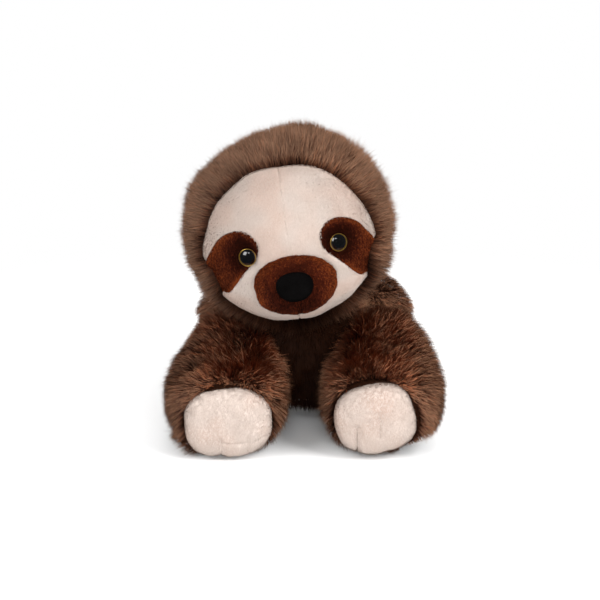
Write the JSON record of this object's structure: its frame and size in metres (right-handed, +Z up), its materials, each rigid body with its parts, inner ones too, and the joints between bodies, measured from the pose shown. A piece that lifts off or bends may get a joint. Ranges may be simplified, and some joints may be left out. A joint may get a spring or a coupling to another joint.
{
  "type": "plush sloth",
  "caption": "Stuffed plush sloth lying on its belly, long-pile fur, plush face mask and paw pads, safety eyes, and a head, arms and legs that turn on their sewn joints.",
  "frame": {"origin": "on the floor, on the flat of the belly below the shoulders, in the middle between the two arms", "axes": "+Z up from the floor; +Y from the face back towards the feet, so the toy faces -Y; +X towards the toy's own left side"},
  "size_m": [0.2015, 0.3191, 0.2246],
  "materials": {
    "long_pile_fur": "matt",
    "short_plush_cream": "matt",
    "short_plush_rust": "matt",
    "flocked_nose": "matt",
    "eye_acrylic": "gloss",
    "eye_ring_metal": "polished",
    "washer_plastic": "matt",
    "polyester_fill": "matt",
    "toe_thread": "matt",
    "seam_thread": "matt"
  },
  "bodies": {
    "torso": {"torso_skin": "long_pile_fur", "torso_stuffing": "polyester_fill"},
    "neck": {"neck_seam_thread": "seam_thread"},
    "head": {"head_skin": "long_pile_fur", "head_stuffing": "polyester_fill", "forehead_left": "short_plush_cream", "forehead_right": "short_plush_cream", "cheek_left": "short_plush_cream", "cheek_right": "short_plush_cream", "eye_patch_left": "short_plush_rust", "eye_patch_right": "short_plush_rust", "muzzle": "short_plush_rust", "nose": "flocked_nose", "eye_left": "eye_acrylic", "eye_ring_left": "eye_ring_metal", "eye_washer_left": "washer_plastic", "eye_right": "eye_acrylic", "eye_ring_right": "eye_ring_metal", "eye_washer_right": "washer_plastic"},
    "arm_left": {"arm_left_skin": "long_pile_fur", "arm_left_stuffing": "polyester_fill", "paw_pad_left": "short_plush_cream", "toe_stitch_left_inner": "toe_thread", "toe_stitch_left_outer": "toe_thread"},
    "arm_right": {"arm_right_skin": "long_pile_fur", "arm_right_stuffing": "polyester_fill", "paw_pad_right": "short_plush_cream", "toe_stitch_right_inner": "toe_thread", "toe_stitch_right_outer": "toe_thread"},
    "leg_left": {"leg_left_skin": "long_pile_fur", "leg_left_stuffing": "polyester_fill", "foot_sole_left": "short_plush_cream"},
    "leg_right": {"leg_right_skin": "long_pile_fur", "leg_right_stuffing": "polyester_fill", "foot_sole_right": "short_plush_cream"}
  },
  "joints": [
    {"name": "head_turn", "type": "hinge", "parent": "torso", "child": "neck", "pos_m": [-0.013, -0.036, 0.149], "axis": [-0.0523, -0.2585, 0.9646], "range_deg": [-35, 35]},
    {"name": "head_tilt", "type": "hinge", "parent": "neck", "child": "head", "pos_m": [-0.013, -0.036, 0.149], "axis": [0, 1, 0], "range_deg": [-12, 28]},
    {"name": "arm_left_swing", "type": "hinge", "parent": "torso", "child": "arm_left", "pos_m": [0.05, 0.022, 0.07], "axis": [-0.5407, -0.4978, 0.6781], "range_deg": [0, 60]},
    {"name": "arm_right_swing", "type": "hinge", "parent": "torso", "child": "arm_right", "pos_m": [-0.05, 0.022, 0.07], "axis": [-0.3532, 0.5537, -0.7541], "range_deg": [0, 60]},
    {"name": "leg_left_swing", "type": "hinge", "parent": "torso", "child": "leg_left", "pos_m": [0.038, 0.1, 0.036], "axis": [0, 0, -1], "range_deg": [0, 45]},
    {"name": "leg_right_swing", "type": "hinge", "parent": "torso", "child": "leg_right", "pos_m": [-0.038, 0.1, 0.036], "axis": [0, 0, 1], "range_deg": [0, 45]}
  ]
}
